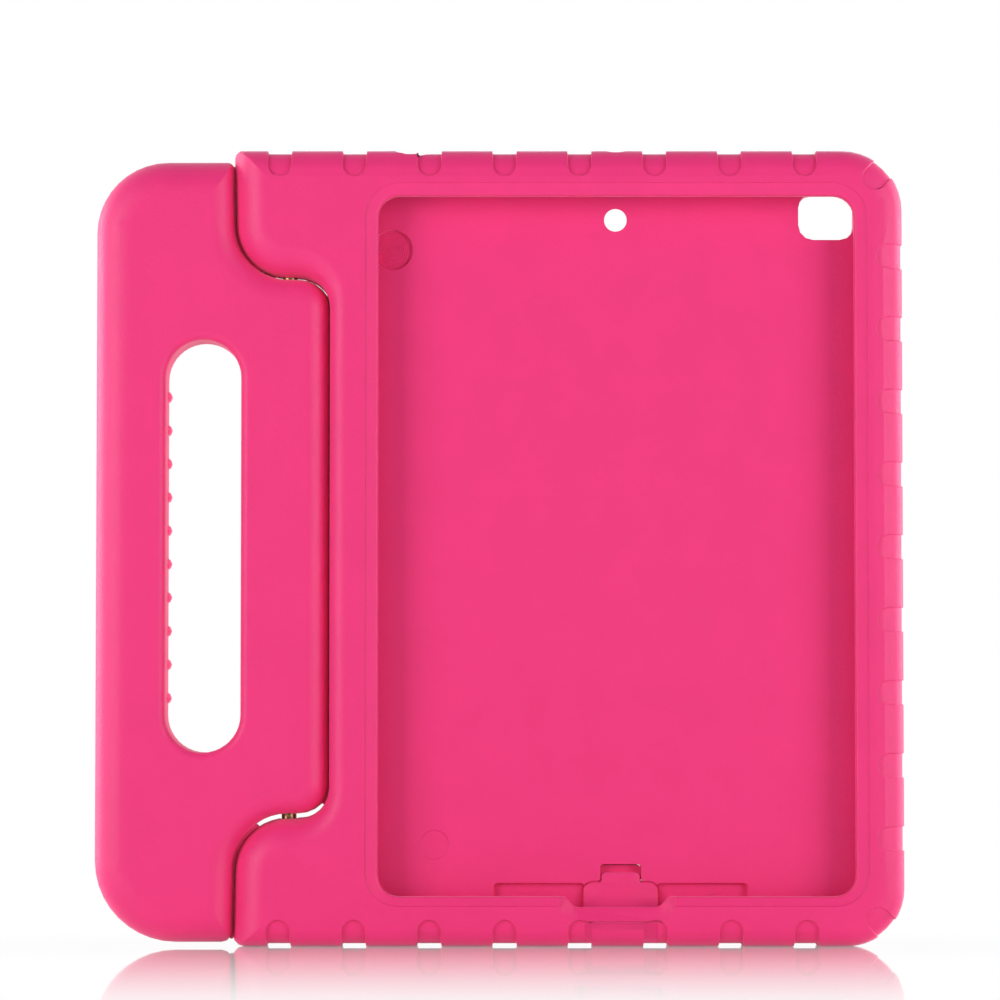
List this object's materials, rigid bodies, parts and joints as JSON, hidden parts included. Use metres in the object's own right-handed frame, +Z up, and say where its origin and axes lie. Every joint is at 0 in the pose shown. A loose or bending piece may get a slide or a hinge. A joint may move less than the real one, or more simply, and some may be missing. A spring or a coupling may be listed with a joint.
{
  "type": "kids tablet case",
  "caption": "Moulded foam case for a tablet, with a chunky carry handle that turns on two steel pins to become a stand, and a flap over the charging port.",
  "frame": {"origin": "on the floor, under the middle of the case as it stands on its bottom edge", "axes": "+Z up the screen, +X to the right as the screen is looked at, +Y from the screen side to the back"},
  "size_m": [0.2688, 0.025, 0.2645],
  "materials": {
    "foam": "matte, fine-grained moulded foam",
    "pin_steel": "darkened steel with a brown tint"
  },
  "bodies": {
    "case": {"case_body": "foam", "hinge_pin_upper": "pin_steel", "hinge_pin_lower": "pin_steel"},
    "handle": {"carry_handle": "foam"},
    "flap": {"port_flap": "foam"}
  },
  "joints": [
    {"name": "handle_hinge", "type": "hinge", "parent": "case", "child": "handle", "pos_m": [-0.06975, 0, 0.13225], "axis": [0, 0, -1], "range_deg": [-90, 95]},
    {"name": "port_flap_crease", "type": "hinge", "parent": "case", "child": "flap", "pos_m": [0.04055, -0.0125, 0.00815], "axis": [-1, 0, 0], "range_deg": [0, 90]}
  ]
}
